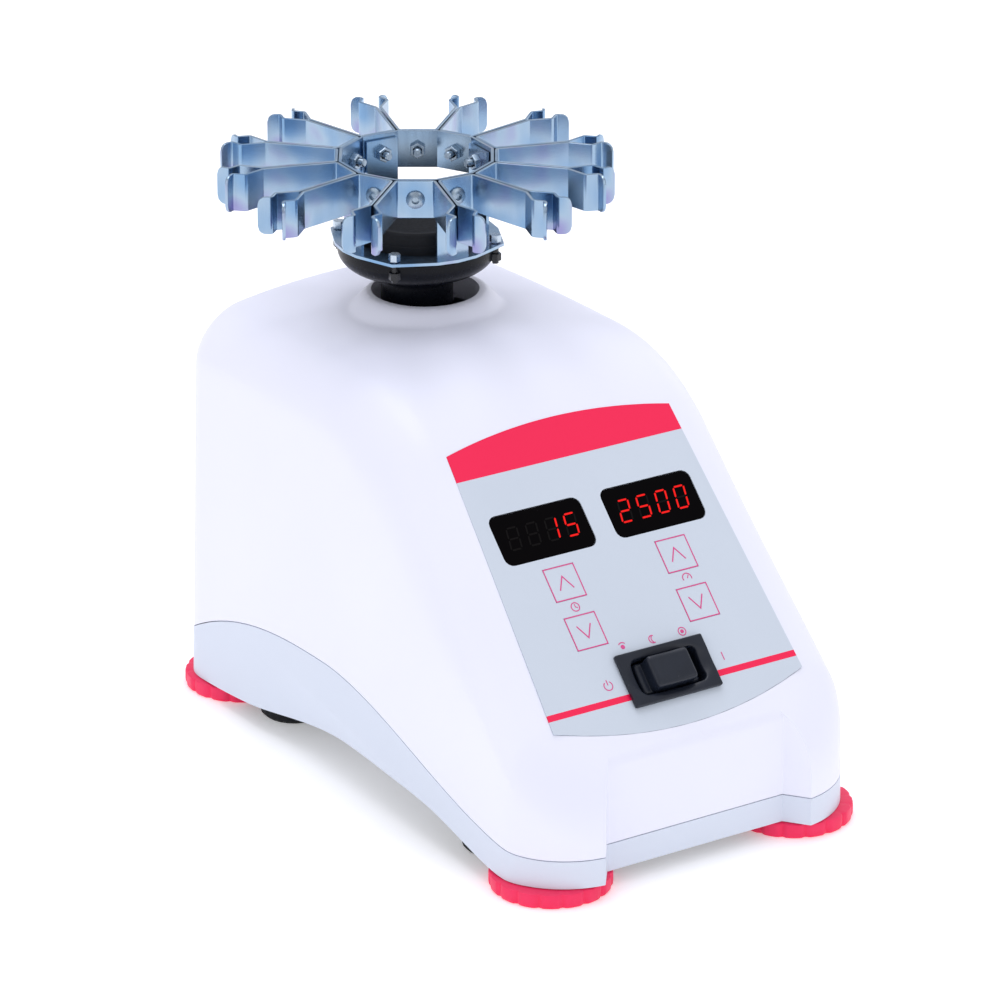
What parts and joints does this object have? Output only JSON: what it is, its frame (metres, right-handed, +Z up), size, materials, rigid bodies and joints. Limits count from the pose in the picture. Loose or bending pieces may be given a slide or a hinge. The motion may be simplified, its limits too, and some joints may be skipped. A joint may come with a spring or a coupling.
{
  "type": "vortex mixer",
  "caption": "Benchtop vortex mixer: sloping control panel, orbiting cup head and a ring of spring clips for small tubes.",
  "frame": {"origin": "centre of the bounding box in plan, on the bench", "axes": "+Z up, the control panel faces -Y, +X to the right of someone facing the panel"},
  "size_m": [0.1231, 0.2133, 0.1769],
  "materials": {
    "white_plastic": "satin moulded",
    "grey_plastic": "satin moulded",
    "red_rubber": "smooth",
    "black_rubber": "matt",
    "black_plastic": "fine texture",
    "panel_film": "satin printed film",
    "display_glass": "polished",
    "zinc_sheet": "bright zinc plating",
    "steel": "plain",
    "cast_iron": "as cast",
    "copper": "enamelled winding",
    "circuit_board": "solder mask"
  },
  "bodies": {
    "root": {"housing_shell": "white_plastic", "base_skirt": "grey_plastic", "bottom_plate": "steel", "motor_bracket": "steel", "motor_can": "steel", "motor_end_bell": "steel", "casing_screw_front_left": "steel", "foot_front_left": "red_rubber", "rubber_pad_front_left": "black_rubber", "isolator_front_left": "black_rubber", "casing_screw_front_right": "steel", "foot_front_right": "red_rubber", "rubber_pad_front_right": "black_rubber", "isolator_front_right": "black_rubber", "casing_screw_rear_left": "steel", "foot_rear_left": "red_rubber", "rubber_pad_rear_left": "black_rubber", "isolator_rear_left": "black_rubber", "casing_screw_rear_right": "steel", "foot_rear_right": "red_rubber", "rubber_pad_rear_right": "black_rubber", "isolator_rear_right": "black_rubber", "ballast_weight": "cast_iron", "stator": "copper", "restraint_boot": "black_rubber", "power_inlet": "black_plastic", "switch_body": "black_plastic", "panel_film": "panel_film", "display_left": "display_glass", "display_right": "display_glass", "control_board": "circuit_board"},
    "drive": {"rotor": "steel", "motor_shaft": "steel", "eccentric_hub": "steel"},
    "head": {"head_bowl": "black_plastic", "head_bearing": "steel", "rubber_cup": "black_rubber", "carousel_deck": "zinc_sheet", "carousel_ring": "zinc_sheet", "deck_screw_1": "steel", "deck_screw_2": "steel", "deck_screw_3": "steel", "deck_screw_4": "steel", "clip_bracket_01": "zinc_sheet", "clip_bracket_02": "zinc_sheet", "clip_bracket_03": "zinc_sheet", "clip_bracket_04": "zinc_sheet", "clip_bracket_05": "zinc_sheet", "clip_bracket_06": "zinc_sheet", "clip_bracket_07": "zinc_sheet", "clip_bracket_08": "zinc_sheet", "clip_bracket_09": "zinc_sheet", "clip_bracket_10": "zinc_sheet", "clip_bracket_11": "zinc_sheet", "clip_bracket_12": "zinc_sheet"},
    "rocker": {"rocker": "black_plastic"},
    "key_left_up": {"key_left_up": "panel_film"},
    "key_left_down": {"key_left_down": "panel_film"},
    "key_right_up": {"key_right_up": "panel_film"},
    "key_right_down": {"key_right_down": "panel_film"}
  },
  "joints": [
    {"name": "drive_spin", "type": "hinge", "parent": "root", "child": "drive", "pos_m": [0, 0.046, 0.09], "axis": [0, 0, 1], "continuous": true},
    {"name": "head_orbit", "type": "hinge", "parent": "drive", "child": "head", "pos_m": [-0.00205, 0.04734, 0.12], "axis": [0, 0, 1], "continuous": true, "deforming": ["restraint_boot"]},
    {"name": "rocker_tilt", "type": "hinge", "parent": "root", "child": "rocker", "pos_m": [0, -0.08299, 0.05367], "axis": [0, -0.7071, -0.7071], "range_deg": [-12, 12], "stiffness_Nm_per_rad": 0.02},
    {"name": "key_left_up_press", "type": "slide", "parent": "root", "child": "key_left_up", "axis": [0, 0.7071, -0.7071], "range_m": [0, 0.0005], "stiffness_N_per_m": 600},
    {"name": "key_left_down_press", "type": "slide", "parent": "root", "child": "key_left_down", "axis": [0, 0.7071, -0.7071], "range_m": [0, 0.0005], "stiffness_N_per_m": 600},
    {"name": "key_right_up_press", "type": "slide", "parent": "root", "child": "key_right_up", "axis": [0, 0.7071, -0.7071], "range_m": [0, 0.0005], "stiffness_N_per_m": 600},
    {"name": "key_right_down_press", "type": "slide", "parent": "root", "child": "key_right_down", "axis": [0, 0.7071, -0.7071], "range_m": [0, 0.0005], "stiffness_N_per_m": 600}
  ],
  "couplings": [
    {"joint": "head_orbit", "follows": "drive_spin", "ratio": -1}
  ]
}
